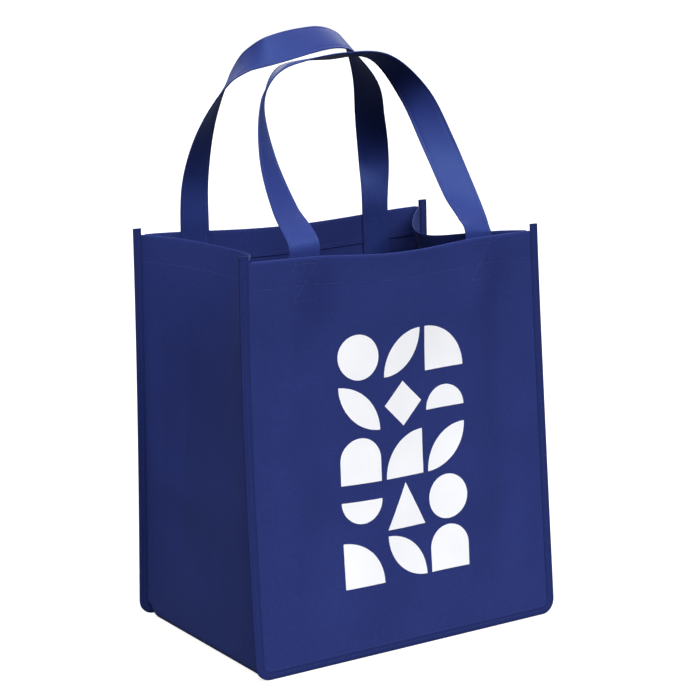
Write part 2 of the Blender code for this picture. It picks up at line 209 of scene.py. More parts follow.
def settle(point):
    """Give a point of the plain box its place in the bag as it stands."""
    x, y, z = point
    up = max(z, 0.0) / BAG_HEIGHT
    drawn_in = 1 - max(1 - up, 0.0) ** DRAW_SHAPE
    high = up ** FOLD_GROWTH
    back = smooth((y + HALF_DEPTH) / BASE_DEPTH)
    half_loss = (BASE_DEPTH - RIM_DEPTH) / 2
    across = min(abs(x) / HALF_WIDTH, 1.0)
    inside = max(HALF_DEPTH - SEAM_DEPTH - abs(y), 0.0)
    to_middle = min(inside / (HALF_DEPTH - SEAM_DEPTH), 1.0)

    fold = LEFT_FOLD if x < 0 else RIGHT_FOLD
    inward = fold * high * across * math.sin(math.pi / 2 * to_middle)
    bow = FRONT_BOW * high * (1 - across ** 2)
    between = max(1 - (2 * x / HANDLE_SPACING) ** 2, 0.0) ** 2
    back_sag = BACK_SAG * (1 - across ** 2) ** 2
    rim_sag = high * (RIM_SAG * between * (1 - back) + back_sag * back)
    taken_up = smooth((z - SEAM_HEIGHT) / BASE_SAG_RISE)
    base_sag = SEAM_HEIGHT * smooth(inside / BASE_SAG_RUN) * (1 - taken_up)

    inward += (FRONT_PINCH * (1 - back) + BACK_PINCH * back) * high * across
    front_shift = half_loss + RIM_LEAN
    back_shift = RIM_LEAN - half_loss
    y += drawn_in * (front_shift * (1 - back) + back_shift * back) - bow * (1 - back)
    z -= base_sag + rim_sag + inward ** 2 / BAG_HEIGHT
    return Vector((x - math.copysign(inward, x) - RIM_SWAY * high, y, z))


def panel_wave(side, x, z):
    """How far the front (-1) or back (1) panel waves outwards at x and z of the plain box."""
    down = 1 - z / BAG_HEIGHT
    wave = 0.0
    for top, foot, width, height in FRONT_WAVES if side < 0 else BACK_WAVES:
        middle = top + (foot - top) * down
        wave += height * math.exp(-((x - middle) / width) ** 2)
    wave += 0.0018 * noise.noise(Vector((x * 11, side * 3.1, z * 7 + 2)))
    wave += 0.0006 * noise.noise(Vector((x * 31 + 5, side * 5.3, z * 19)))
    inwards, upwards, downwards = PANEL_GROWTH
    seams = smooth((HALF_WIDTH - abs(x)) / inwards)
    ends = smooth((z - SEAM_HEIGHT) / upwards) * smooth((BAG_HEIGHT - z) / downwards)
    return wave * seams * ends


def gusset_wave(side, y, z):
    """How far the left (-1) or right (1) gusset waves outwards at y and z of the plain box."""
    fold = LEFT_VALLEY if side < 0 else RIGHT_VALLEY
    lower = smooth((VALLEY_TOP - z) / 0.15) * smooth((z - VALLEY_FOOT) / 0.10)
    run = (HALF_DEPTH - fold) if y > fold else (HALF_DEPTH + fold)
    valley = 1.06 - math.hypot((y - fold) / run, 0.06)
    crease = -(VALLEY_DEPTH * valley + VALLEY_CREASE * math.exp(-abs(y - fold) / 0.010)) * lower
    if side < 0:
        beside_seam = smooth((HALF_DEPTH + y) / 0.022) * lower * smooth((z - 0.13) / 0.06)
        crease -= FRONT_STEP * beside_seam
    wave = 0.0016 * noise.noise(Vector((side * 7.7, y * 16, z * 8 + 4)))
    wave += 0.0006 * noise.noise(Vector((side * 2.2, y * 37, z * 23)))
    inwards, upwards, downwards = GUSSET_GROWTH
    seams = smooth((HALF_DEPTH - SEAM_DEPTH - abs(y)) / inwards)
    ends = smooth((z - SEAM_HEIGHT) / upwards) * smooth((BAG_HEIGHT - z) / downwards)
    return (crease + wave * ends) * seams


def drape(point):
    """settle() a point and add the soft waves of the cloth it belongs to."""
    x, y, z = point
    place = settle(point)
    inside = max(HALF_DEPTH - SEAM_DEPTH - abs(y), 0.0)
    near_panel = 1 - smooth(inside / HAND_OVER)
    side = -1 if y < 0 else 1
    if near_panel > 0:
        place.y += side * panel_wave(side, x, z) * near_panel
    side = -1 if x < 0 else 1
    near_gusset = 1 - smooth((HALF_WIDTH - abs(x)) / HAND_OVER)
    if near_gusset > 0 and z < BAG_HEIGHT + FIT:
        place.x += side * gusset_wave(side, y, z) * near_gusset
    return place


def from_face(side, depth):
    """The y of what lies depth behind the outer face of the front (-1) or back (1) panel."""
    return side * (HALF_DEPTH - depth)


def spread(start, stop, step):
    """Even places from start to stop, about step apart."""
    count = max(1, round(abs(stop - start) / step))
    return [start + (stop - start) * i / count for i in range(count + 1)]


def seam_line(top, step):
    """The seam's stations, from the left rim round the bottom to the right rim.

    Each is a place in x and z on the seam line and the direction out of the bag there. top is
    the height above the rim to which the line is carried on.
    """
    side = spread(CORNER_Z, BAG_HEIGHT, step)
    if top:
        side += spread(BAG_HEIGHT, BAG_HEIGHT + top, step)[1:]
    left = [((-HALF_WIDTH, z), (-1.0, 0.0)) for z in reversed(side)]
    for i in range(1, CORNER_STEPS + 1):
        angle = math.pi / 2 * i / CORNER_STEPS
        out = (-math.cos(angle), -math.sin(angle))
        place = (CORNER_RADIUS * out[0] - CORNER_X, CORNER_RADIUS * out[1] + CORNER_Z)
        left.append((place, out))
    bottom = [((x, SEAM_HEIGHT), (0.0, -1.0)) for x in spread(-CORNER_X, CORNER_X, step)[1:-1]]
    right = [((-place[0], place[1]), (-out[0], out[1])) for place, out in reversed(left)]
    return left + bottom + right


def round_corner(x, z):
    """Pull a point of a panel in to the rounded outline of its two bottom corners."""
    aside = abs(x) - CORNER_X
    below = CORNER_Z - z
    if aside <= 0 or below <= 0:
        return x, z
    share = min((CORNER_RADIUS + FLANGE) / math.hypot(aside, below), 1.0)
    return math.copysign(CORNER_X + aside * share, x), CORNER_Z - below * share


# Making and placing pieces

def place_piece(name, mesh):
    """Put a finished mesh into the scene."""
    data = bpy.data.meshes.new(name)
    mesh.to_mesh(data)
    mesh.free()
    piece = bpy.data.objects.new(name, data)
    bpy.context.scene.collection.objects.link(piece)
    return piece


def finish_piece(name, mesh, finish, nodes, thickness=0.0):
    """Put a finished mesh into the scene in place of its CAD nodes, with any thickness given."""
    if not thickness:
        bmesh.ops.recalc_face_normals(mesh, faces=mesh.faces)
    for face in mesh.faces:
        face.smooth = True
    piece = place_piece(name, mesh)
    if thickness:
        skin = piece.data
        solidify = piece.modifiers.new("Cloth thickness", "SOLIDIFY")
        solidify.thickness = thickness
        solidify.offset = -1
        solidify.use_even_offset = True
        seen = piece.evaluated_get(bpy.context.evaluated_depsgraph_get())
        thick = bpy.data.meshes.new_from_object(seen)
        piece.modifiers.clear()
        piece.data = thick
        thick.name = name
        bpy.data.meshes.remove(skin)
    piece.data.set_sharp_from_angle(angle=SHARP_EDGE)
    piece.data.materials.clear()
    piece.data.materials.append(finish)
    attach(piece, "root")
    if nodes:
        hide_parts(*nodes)
    return piece


def flat_cut(rows, columns, place, flat):
    """A flat cut of cloth as a grid, each of its points put where place(row, column) says.

    Where place gives nothing, the cloth is cut away. flat(row, column) gives the point's place
    in the uncut cloth, in metres, for the cloth's grain, and how much it is made lighter: by
    wear, and along a rim also by a painted highlight.
    """
    mesh = bmesh.new()
    bmesh.ops.create_grid(mesh, x_segments=rows - 1, y_segments=columns - 1, size=1)
    grain = mesh.loops.layers.uv.new("Grain")
    rub_and_highlight_layer = mesh.verts.layers.float.new("RubAndHighlight")
    waste = []
    laid = {}
    for vert in mesh.verts:
        row = round((vert.co.x + 1) / 2 * (rows - 1))
        column = round((vert.co.y + 1) / 2 * (columns - 1))
        spot = place(row, column)
        if spot is None:
            waste.append(vert)
            continue
        vert.co = spot
        u, v, rub_and_highlight = flat(row, column)
        laid[vert] = (u, v)
        vert[rub_and_highlight_layer] = rub_and_highlight
    bmesh.ops.delete(mesh, geom=waste, context="VERTS")
    for face in mesh.faces:
        for loop in face.loops:
            loop[grain].uv = laid[loop.vert]
    return mesh


def face_out(mesh, outward):
    """Turn a single skin of cloth so that its first face looks along outward."""
    mesh.faces.ensure_lookup_table()
    bmesh.ops.recalc_face_normals(mesh, faces=mesh.faces)
    lead = max(mesh.faces, key=lambda face: face.calc_center_median().dot(outward))
    if lead.normal.dot(outward) < 0:
        bmesh.ops.reverse_faces(mesh, faces=mesh.faces)


def swept(sections, lengths, widths):
    """A solid that passes through sections, which are closed outlines of equal point counts.

    lengths gives each section's place along the strip and widths each outline point's place
    round it, for the grain.
    """
    mesh = bmesh.new()
    grain = mesh.loops.layers.uv.new("Grain")
    laid = {}
    start = end = mesh.faces.new([mesh.verts.new(point) for point in sections[0]])
    for vert, width in zip(end.verts, widths):
        laid[vert] = (width, lengths[0])
    for section, length in zip(sections[1:], lengths[1:]):
        grown = bmesh.ops.extrude_face_region(mesh, geom=[end])["geom"]
        if end is not start:
            bmesh.ops.delete(mesh, geom=[end], context="FACES_ONLY")
        end = next(item for item in grown if isinstance(item, bmesh.types.BMFace))
        for vert, point, width in zip(end.verts, section, widths):
            vert.co = point
            laid[vert] = (width, length)
    for face in mesh.faces:
        for loop in face.loops:
            loop[grain].uv = laid[loop.vert]
    return mesh


def run_lengths(points):
    """How far along a line each of its points is."""
    lengths = [0.0]
    for before, after in zip(points, points[1:]):
        lengths.append(lengths[-1] + (after - before).length)
    return lengths


# Cloth

def panel_columns():
    """The x of a panel's columns, finer than its solid's."""
    inner = HALF_WIDTH - HEM_INSET
    edge = [HALF_WIDTH - HEM_INSET / 2, HALF_WIDTH, HALF_WIDTH + FLANGE / 2, HALF_WIDTH + FLANGE]
    return [-x for x in reversed(edge)] + spread(-inner, inner, WEAVE_STEP) + edge


def panel_rows():
    """The z of a panel's rows below its rim."""
    foot = SEAM_HEIGHT - FLANGE
    return [foot, foot + FLANGE / 2] + spread(SEAM_HEIGHT, BAG_HEIGHT - STACK / 2, WEAVE_STEP)


def half_turn(steps):
    """Rise and depth of so many steps round the fold of a hem."""
    angles = [math.pi * i / FOLD_STEPS for i in range(1, steps + 1)]
    return [(STACK / 2 * math.sin(a), STACK / 2 * (1 - math.cos(a))) for a in angles]


def hem_path():
    """The z and the depth of the rows that turn a panel's rim in, and of those of its hem."""
    middle = BAG_HEIGHT - STACK / 2
    path = [(middle + rise, depth) for rise, depth in half_turn(FOLD_STEPS)]
    return path + [(z, STACK) for z in spread(middle, BAG_HEIGHT - HEM, WEAVE_STEP)[1:]]


def rub_and_highlight_at(z, x):
    """Lightening of a panel's cloth: wear and a painted highlight on the rim's fold, wear by the
    seams.
    """
    rim = math.exp(-((z - BAG_HEIGHT) / RIM_RUB_AND_HIGHLIGHT) ** 2)
    seam = 0.35 * math.exp(-((HALF_WIDTH - abs(x)) / SEAM_RUB) ** 2)
    return min(rim + seam, 1.0)


def make_panel(side, finish):
    """The front (-1) or back (1) panel, with the hem turned inside its rim."""
    xs = panel_columns()
    wall = [(z, 0.0) for z in panel_rows()]
    path = wall + hem_path()
    run = run_lengths([Vector((0, depth, z)) for z, depth in path])

    def place(row, column):
        z, depth = path[row]
        x = xs[column]
        if row >= len(wall) and abs(x) > HALF_WIDTH - HEM_INSET + FIT:
            return None
        x, z = round_corner(x, z)
        pull = 0.0
        if BAG_HEIGHT - z < HEM + FIT:
            off_row = (BAG_HEIGHT - HEM_STITCH - z) / PULL_WIDTH
            pull = HEM_PULL * math.exp(-off_row ** 2)
        toward = 1 if depth < STACK / 2 else -1
        return drape((x, from_face(side, depth + toward * pull), z))

    def flat(row, column):
        z, depth = path[row]
        return xs[column], run[row], rub_and_highlight_at(z, xs[column])

    mesh = flat_cut(len(path), len(xs), place, flat)
    face_out(mesh, Vector((0, side, 0)))
    face = FACES[side]
    return finish_piece(f"{face}_cloth", mesh, finish, [f"{face}_panel"], CLOTH)


def make_gusset_strip(finish):
    """Left side, bottom and right side in one strip, its long edges turned out as flanges."""
    drops = spread(0.0, HEM, WEAVE_STEP)
    turn = half_turn(FOLD_STEPS - 1)
    middle = BAG_HEIGHT - STACK / 2
    left = [((-HALF_WIDTH, middle - drop), (-1.0, 0.0), STACK) for drop in reversed(drops)]
    left += [((-HALF_WIDTH, middle + rise), (-1.0, 0.0), depth) for rise, depth in reversed(turn)]
    right = [((-place[0], place[1]), (1.0, 0.0), depth) for place, out, depth in reversed(left)]
    wall = [(place, out, 0.0) for place, out in seam_line(0, WEAVE_STEP)]
    wall[0] = ((-HALF_WIDTH, middle), (-1.0, 0.0), 0.0)
    wall[-1] = ((HALF_WIDTH, middle), (1.0, 0.0), 0.0)
    stations = left + wall + right
    hem_rows = (*range(len(left)), *range(len(left) + len(wall), len(stations)))
    web = HALF_DEPTH - STACK
    inner = HALF_DEPTH - HEM_INSET
    bend = 0.0008
    across = [-web + bend, -web + 3 * bend] + spread(-inner, inner, WEAVE_STEP)
    across += [web - 3 * bend, web - bend]
    corner = [(1 - math.sin(a), 1 - math.cos(a)) for a in (math.pi / 6, math.pi / 3)]
    front = [(-web, FLANGE), (-web, FLANGE / 2), (-web, bend)]
    front += [(-web + bend * away, bend * reach) for away, reach in reversed(corner)]
    columns = front + [(y, 0.0) for y in across] + [(-y, reach) for y, reach in reversed(front)]
    row_run = run_lengths([Vector((x - out[0] * inset, 0, z)) for (x, z), out, inset in stations])
    column_run = run_lengths([Vector((reach, y, 0)) for y, reach in columns])

    def place(row, column):
        (x, z), out, inset = stations[row]
        y, turned_out = columns[column]
        if row in hem_rows and abs(y) > inner + FIT:
            return None
        reach = turned_out - inset
        return drape((x + out[0] * reach, y, z + out[1] * reach))

    def flat(row, column):
        (x, z), out, inset = stations[row]
        # Along the rim the cloth is made lighter by wear and a painted highlight on the fold; along
        # the middle crease by wear.
        rim = math.exp(-((z - BAG_HEIGHT) / RIM_RUB_AND_HIGHLIGHT) ** 2)
        crease = 0.3 * math.exp(-(columns[column][0] / CREASE_RUB) ** 2)
        return column_run[column], row_run[row], min(rim + crease, 1.0)

    mesh = flat_cut(len(stations), len(columns), place, flat)
    face_out(mesh, Vector((0, 0, -1)))
    return finish_piece("gusset_cloth", mesh, finish, ["gusset_strip"], CLOTH)


# Binding tape

def tape_outline():
    """The tape's cross-section as reach and depth: folded round the flanges, both edges free."""
    rim = FLANGE + FIT
    near = -FIT
    rear = STACK + FIT
    ridge = 0.00025
    beside = 0.0012
    bend = rim - 0.0008
    inner_row, outer_row = TAPE_STITCH - beside, TAPE_STITCH + beside
    face = [(0.0, near - TAPE * 0.6), (0.0004, near - TAPE - ridge * 0.5),
            (beside, near - TAPE - ridge * 0.8), (inner_row, near - TAPE - ridge * 0.4),
            (TAPE_STITCH, near - TAPE), (outer_row, near - TAPE - ridge * 0.4),
            (bend, near - TAPE - ridge * 0.8)]
    middle = (near + rear) / 2
    half = (rear - near) / 2 + TAPE
    fold = []
    for i in range(1, 6):
        angle = math.pi * (i / 6 - 0.5)
        fold.append((rim - 0.0002 + TAPE * 1.2 * math.cos(angle), middle + half * math.sin(angle)))
    back = [(bend, rear + TAPE + ridge * 0.5), (outer_row, rear + TAPE + ridge * 0.3),
            (TAPE_STITCH, rear + TAPE), (inner_row, rear + TAPE + ridge * 0.2),
            (REAR_INSET, rear + TAPE), (REAR_INSET, rear)]
    inner = [(rim, rear), (rim, near), (0.0, near)]
    return face + fold + back + inner


def make_binding(side, finish):
    """Tape folded round the flanges of the front (-1) or back (1) seam, with two standing tabs."""
    outline = tape_outline()
    line = seam_line(TAB, TAPE_STEP)
    run = run_lengths([Vector((x, 0, z)) for (x, z), out in line])
    round_run = run_lengths([Vector((reach, 0, depth)) for reach, depth in outline])
    sections = []
    for ((x, z), out), length in zip(line, run):
        pucker = PUCKER * math.cos(2 * math.pi * length / STITCH_PITCH / 2.6)
        section = []
        for reach, depth in outline:
            puff = pucker if depth < -FIT - TAPE else 0.0
            y = from_face(side, depth - puff)
            section.append(drape((x + out[0] * reach, y, z + out[1] * reach)))
        sections.append(section)
    mesh = swept(sections, run, round_run)
    face = FACES[side]
    return finish_piece(f"{face}_tape", mesh, finish, [f"{face}_binding"])


# Handles

def smooth_route(stations):
    """Points and turns on a smooth curve through stations, which are rows of four numbers.

    Its first and last stretches are straight.
    """
    points = [Vector(station[:3]) for station in stations]
    turns = [Vector((station[3], 0.0, 0.0)) for station in stations]
    runs = [(after - before).length for before, after in zip(points, points[1:])]
    lengths = [sum(runs[:i]) for i in range(len(points))]
    curves = []
    for knots in (points, turns):
        slopes = [(after - before) / (later - earlier) for before, after, earlier, later
                  in zip(knots, knots[2:], lengths, lengths[2:])]
        first = (knots[1] - knots[0]) / runs[0]
        last = (knots[-1] - knots[-2]) / runs[-1]
        slopes = [first, first] + slopes[1:-1] + [last, last]
        line = [knots[0]]
        for i, run in enumerate(runs):
            lead = knots[i] + slopes[i] * run / 3
            tail = knots[i + 1] - slopes[i + 1] * run / 3
            line += interpolate_bezier(knots[i], lead, tail, knots[i + 1], HANDLE_STEPS + 1)[1:]
        curves.append(line)
    return curves[0], [turn.x for turn in curves[1]]


def handle_frames(side):
    """The handle's middle line, and its width and face directions at each point."""
    half_spacing = HANDLE_SPACING / 2
    y_tail = from_face(side, TAIL_DEPTH)

    def tail(across):
        x = across * half_spacing
        stations = []
        for z in (BAG_HEIGHT - HANDLE_TAIL, BAG_HEIGHT + HANDLE_STAND):
            left = settle((x - WEBBING_WIDTH / 2, y_tail, z))
            right = settle((x + WEBBING_WIDTH / 2, y_tail, z))
            slope = math.degrees(math.atan2(right.y - left.y, right.x - left.x))
            stations.append((*((left + right) / 2), slope if x < 0 else -slope))
        return stations

    front_rim = settle((0.0, from_face(-1, 0.0), BAG_HEIGHT))
    free = []
    for across, back, up, turn in ROUTES[side]:
        free.append((across * half_spacing, front_rim.y + back * HANDLE_RISE,
                     BAG_HEIGHT + up * HANDLE_RISE, turn))
    first, last = (tail(across) for across in TAILS[side])
    points, turns = smooth_route(first + free + last[::-1])
    frames = []
    for i, (point, turn) in enumerate(zip(points, turns)):
        ahead = (points[min(i + 1, len(points) - 1)] - points[max(i - 1, 0)]).normalized()
        outwards = Vector((-ahead.z, 0.0, ahead.x)).normalized()
        sideways = ahead.cross(outwards)
        angle = math.radians(turn)
        wide = (outwards * math.cos(angle) + sideways * math.sin(angle)).normalized()
        frames.append((point, wide, ahead.cross(wide).normalized()))
    return frames


def sewn_down(side, point):
    """How far a point of a handle's tail moves outwards to follow the panel's waves there."""
    if point.z > BAG_HEIGHT - 0.004:
        return 0.0
    return side * panel_wave(side, point.x, point.z)


def webbing_outline():
    """The handle's cross-section as shares of its half width and half thickness."""
    half = WEBBING_WIDTH / 2
    groove = (half - WEBBING_STITCH) / half
    face = [(1.0, 0.0), (0.996, 0.55), (0.98, 0.92), (0.93, 1.0), (groove + 0.03, 0.96),
            (groove, 0.72), (groove - 0.03, 0.92), (groove - 0.12, 1.0), (0.4, 0.97), (0.0, 0.94)]
    top = face + [(-w, t) for w, t in reversed(face[:-1])]
    return top + [(w, -t) for w, t in reversed(top[1:-1])]


def make_handle(side, finish):
    """A webbing handle: both tails inside the panel and the free arch between them."""
    frames = handle_frames(side)
    outline = webbing_outline()
    lengths = run_lengths([point for point, wide, thick in frames])
    widths = run_lengths([Vector((w * WEBBING_WIDTH / 2, t * WEBBING / 2, 0)) for w, t in outline])
    sections = []
    for (point, wide, thick), length in zip(frames, lengths):
        ripple = 1 + 0.10 * noise.noise(Vector((length * 160, side * 9.1, 0)))
        section = []
        for w, t in outline:
            spot = point + wide * w * WEBBING_WIDTH / 2 + thick * t * WEBBING / 2 * min(ripple, 1.0)
            spot.y += sewn_down(side, spot)
            section.append(spot)
        sections.append(section)
    mesh = swept(sections, lengths, widths)
    face = FACES[side]
    return finish_piece(f"{face}_webbing", mesh, finish, [f"{face}_handle"])


# Thread

def stitch_mesh():
    """One stitch, a small spindle of thread that lies along x."""
    mesh = bmesh.new()
    bmesh.ops.create_uvsphere(mesh, u_segments=6, v_segments=4, radius=0.5)
    turn = Matrix.Rotation(math.pi / 2, 3, "Y")
    bmesh.ops.rotate(mesh, verts=mesh.verts, cent=(0, 0, 0), matrix=turn)
    data = bpy.data.meshes.new("one_stitch")
    mesh.to_mesh(data)
    mesh.free()
    return data


def make_stitches(name, rows, finish):
    """Rows of stitches. Each row is a list of (point, outward) along a line on the cloth."""
    pattern = stitch_mesh()
    mesh = bmesh.new()
    for row in rows:
        lengths = run_lengths([point for point, outward in row])
        count = max(1, round(lengths[-1] / STITCH_PITCH))
        pitch = lengths[-1] / count
        index = 0
        for i in range(count):
            start = (i + 0.5 - STITCH / STITCH_PITCH / 2) * pitch
            spots = []
            for want in (start, start + STITCH / STITCH_PITCH * pitch):
                while lengths[index + 1] < want and index < len(lengths) - 2:
                    index += 1
                share = (want - lengths[index]) / max(lengths[index + 1] - lengths[index], 1e-9)
                spots.append(row[index][0].lerp(row[index + 1][0], share))
                outward = row[index][1]
            along = spots[1] - spots[0]
            length = along.length
            along.normalize()
            across = outward.cross(along).normalized()
            up = along.cross(across)
            turn = Matrix((along, across, up)).transposed().to_4x4()
            size = Matrix.Diagonal((length, THREAD, THREAD, 1))
            first = len(mesh.verts)
            mesh.from_mesh(pattern)
            mesh.verts.ensure_lookup_table()
            move = Matrix.Translation((spots[0] + spots[1]) / 2) @ turn @ size
            for vert in mesh.verts[first:]:
                vert.co = move @ vert.co
    bpy.data.meshes.remove(pattern)
    return finish_piece(name, mesh, finish, [])


def on_panel(side, depth, ends, outward):
    """A row of stitches at depth behind a panel's outer face, its two ends given in x and z."""
    (x0, z0), (x1, z1) = ends
    steps = max(1, round(math.hypot(x1 - x0, z1 - z0) / WEAVE_STEP))
    row = []
    for i in range(steps + 1):
        place = (x0 + (x1 - x0) * i / steps, from_face(side, depth), z0 + (z1 - z0) * i / steps)
        row.append((drape(place), Vector((0, outward, 0))))
    return row


def box_and_cross(side, depth, outward):
    """The sewn boxes with crosses that hold a handle's two ends."""
    rows = []
    half = WEBBING_WIDTH / 2 - BOX_INSET
    top = BAG_HEIGHT - BOX_TOP
    low = BAG_HEIGHT - HANDLE_TAIL + BOX_FOOT
    for across in TAILS[side]:
        x = across * HANDLE_SPACING / 2
        left, right = x - half, x + half
        corners = [(left, top), (right, top), (right, low), (left, low)]
        for start, stop in ((0, 1), (1, 2), (2, 3), (3, 0), (0, 2), (3, 1)):
            rows.append(on_panel(side, depth, [corners[start], corners[stop]], outward))
    return rows


def panel_thread(side, finish):
    """All stitches of a panel: its hem's row and its handle's boxes, on both faces."""
    edge = HALF_WIDTH - HEM_INSET
    z = BAG_HEIGHT - HEM_STITCH
    ends = [(-edge, z), (edge, z)]
    rows = [on_panel(side, SUNK, ends, side), on_panel(side, STACK - SUNK, ends, -side)]
    rows += box_and_cross(side, SUNK, side)
    rows += box_and_cross(side, TAIL_DEPTH + WEBBING / 2 - SUNK, -side)
    return make_stitches(f"{FACES[side]}_hem_thread", rows, finish)


def gusset_thread(name, side, finish):
    """The hem's stitches across a gusset, on both faces."""
    edge = HALF_DEPTH - HEM_INSET
    z = BAG_HEIGHT - HEM_STITCH
    rows = []
    for depth, outward in ((SUNK, side), (STACK - SUNK, -side)):
        x = side * (HALF_WIDTH - depth)
        rows.append([(drape((x, y, z)), Vector((outward, 0, 0)))
                     for y in spread(-edge, edge, WEAVE_STEP)])
    return make_stitches(name, rows, finish)


def binding_thread(side, finish):
    """The two faces of the seam that holds a binding."""
    rows = []
    faces = ((-FIT - TAPE + TAPE_SUNK, side), (STACK + FIT + TAPE - TAPE_SUNK, -side))
    for depth, outward in faces:
        row = []
        for (x, z), out in seam_line(TAB / 2, TAPE_STEP / 2):
            place = (x + out[0] * TAPE_STITCH, from_face(side, depth), z + out[1] * TAPE_STITCH)
            row.append((drape(place), Vector((0, outward, 0))))
        rows.append(row)
    return make_stitches(f"{FACES[side]}_tape_thread", rows, finish)


def handle_thread(side, finish):
    """The two rows of stitches along a handle, on both of its faces."""
    frames = handle_frames(side)
    rows = []
    off = WEBBING_WIDTH / 2 - WEBBING_STITCH
    lift = WEBBING / 2 * 0.80
    for edge in (-1, 1):
        for face in (-1, 1):
            row = []
            for point, wide, thick in frames:
                spot = point + wide * edge * off + thick * face * lift
                spot.y += sewn_down(side, spot)
                row.append((spot, thick * face))
            rows.append(row)
    return make_stitches(f"{FACES[side]}_webbing_thread", rows, finish)


# Board and print

def make_board(finish):
    """The loose board on the bottom, its corners rounded and its edges eased."""
    mesh = bmesh.new()
    bmesh.ops.create_cube(mesh, size=1)
    length = 2 * (CORNER_X - BOARD_CLEARANCE)
    depth = 2 * (BASE_FLAT - BOARD_CLEARANCE)
    bmesh.ops.scale(mesh, vec=(length, depth, BOARD), verts=mesh.verts)
    bmesh.ops.translate(mesh, vec=(0, 0, CLOTH + FIT + BOARD / 2), verts=mesh.verts)

    def rise(edge):
        return abs(edge.verts[0].co.z - edge.verts[1].co.z)

    def bevel(edges, offset, segments):
        bmesh.ops.bevel(mesh, geom=edges, offset=offset, segments=segments, profile=0.5,
                        affect="EDGES", material=-1)

    bevel([edge for edge in mesh.edges if rise(edge) > BOARD / 2], BOARD_CORNER, 6)
    bevel([edge for edge in mesh.edges if rise(edge) < BOARD / 4 and edge.calc_face_angle() > 1],
          BOARD_EASE, 2)
    return finish_piece("bottom_board", mesh, finish, ["base_board"])


def arc(centre, radius, start, stop):
    """Points along an arc, its angles in degrees, in a tile's own x and z."""
    steps = max(2, round(ARC_STEPS * abs(stop - start) / 180))
    angles = [math.radians(start + (stop - start) * i / steps) for i in range(steps + 1)]
    return [(centre[0] + radius * math.cos(a), centre[1] + radius * math.sin(a)) for a in angles]


def print_shapes():
    """The outlines used in the print, in a tile that reaches from -0.5 to 0.5."""
    leaf = arc((-0.5, 0.5), 1, -90, 0)[:-1] + arc((0.5, -0.5), 1, 90, 180)[:-1]
    return {
        "leaf": leaf,
        "leaf_mirrored": [(-x, z) for x, z in reversed(leaf)],
        "disc": arc((0, 0), 0.5, 0, 360)[:-1],
        "quarter": [(-0.5, -0.5)] + arc((-0.5, -0.5), 1, 0, 90),
        "quarter_mirrored": [(0.5, -0.5)] + arc((0.5, -0.5), 1, 90, 180),
        "bowl": arc((0, 0.25), 0.5, 180, 360),
        "dome": arc((0, -0.25), 0.5, 0, 180),
        "diamond": [(0.5, 0), (0, 0.5), (-0.5, 0), (0, -0.5)],
        "arch": [(-0.5, -0.5), (0.5, -0.5)] + arc((0, 0), 0.5, 0, 180),
        "peak": [(-0.5, -0.5), (0.5, -0.5), (0, 0.5)],
    }


def make_print_shape(place, outline, middle_x, middle_z, finish):
    """One white shape, a thin layer of ink that follows every wave of the front panel."""
    mesh = bmesh.new()
    y = from_face(-1, -INK_FOOT)
    corners = [(middle_x + x * PRINT_TILE, y, middle_z + z * PRINT_TILE) for x, z in outline]
    base = mesh.faces.new([mesh.verts.new(corner) for corner in corners])
    raised = bmesh.ops.extrude_face_region(mesh, geom=[base])["geom"]
    raised = [item for item in raised if isinstance(item, bmesh.types.BMVert)]
    bmesh.ops.translate(mesh, vec=(0, INK_FOOT - INK_TOP, 0), verts=raised)
    half = PRINT_TILE / 2
    for axis, middle, lines in (((1, 0, 0), middle_x, panel_columns()),
                                ((0, 0, 1), middle_z, panel_rows())):
        for line in lines:
            if abs(line - middle) < half:
                spot = [line * share for share in axis]
                geom = mesh.verts[:] + mesh.edges[:] + mesh.faces[:]
                bmesh.ops.bisect_plane(mesh, geom=geom, dist=1e-6, plane_co=spot, plane_no=axis)
    for vert in mesh.verts:
        vert.co = drape(vert.co)
    return finish_piece(f"ink_{place}", mesh, finish, [f"print_{place}"])


def make_print(finish):
    """The block of shapes on the front panel."""
    shapes = print_shapes()
    pitch = PRINT_TILE + PRINT_SPACE
    for row, kinds in enumerate(PRINT_LAYOUT):
        for column, kind in enumerate(kinds):
            x = (column - (len(kinds) - 1) / 2) * pitch
            z = PRINT_LIFT + ((len(PRINT_LAYOUT) - 1) / 2 - row) * pitch
            make_print_shape(f"row{row + 1}_{column + 1}", shapes[kind], x, z, finish)


# Finishes

class Value:
    """A shader value. Reckoning with it adds Math nodes to its finish."""

    def __init__(self, finish, socket):
        self.finish = finish
        self.socket = socket

    def reckon(self, operation, *values):
        return self.finish.node("ShaderNodeMath", {"operation": operation}, list(values))

    def __add__(self, other):
        return self.reckon("ADD", self, other)

    __radd__ = __add__

    def __sub__(self, other):
        return self.reckon("SUBTRACT", self, other)

    def __rsub__(self, other):
        return self.reckon("SUBTRACT", other, self)

    def __mul__(self, other):
        return self.reckon("MULTIPLY", self, other)

    def at_least(self, other):
        return self.reckon("MAXIMUM", self, other)


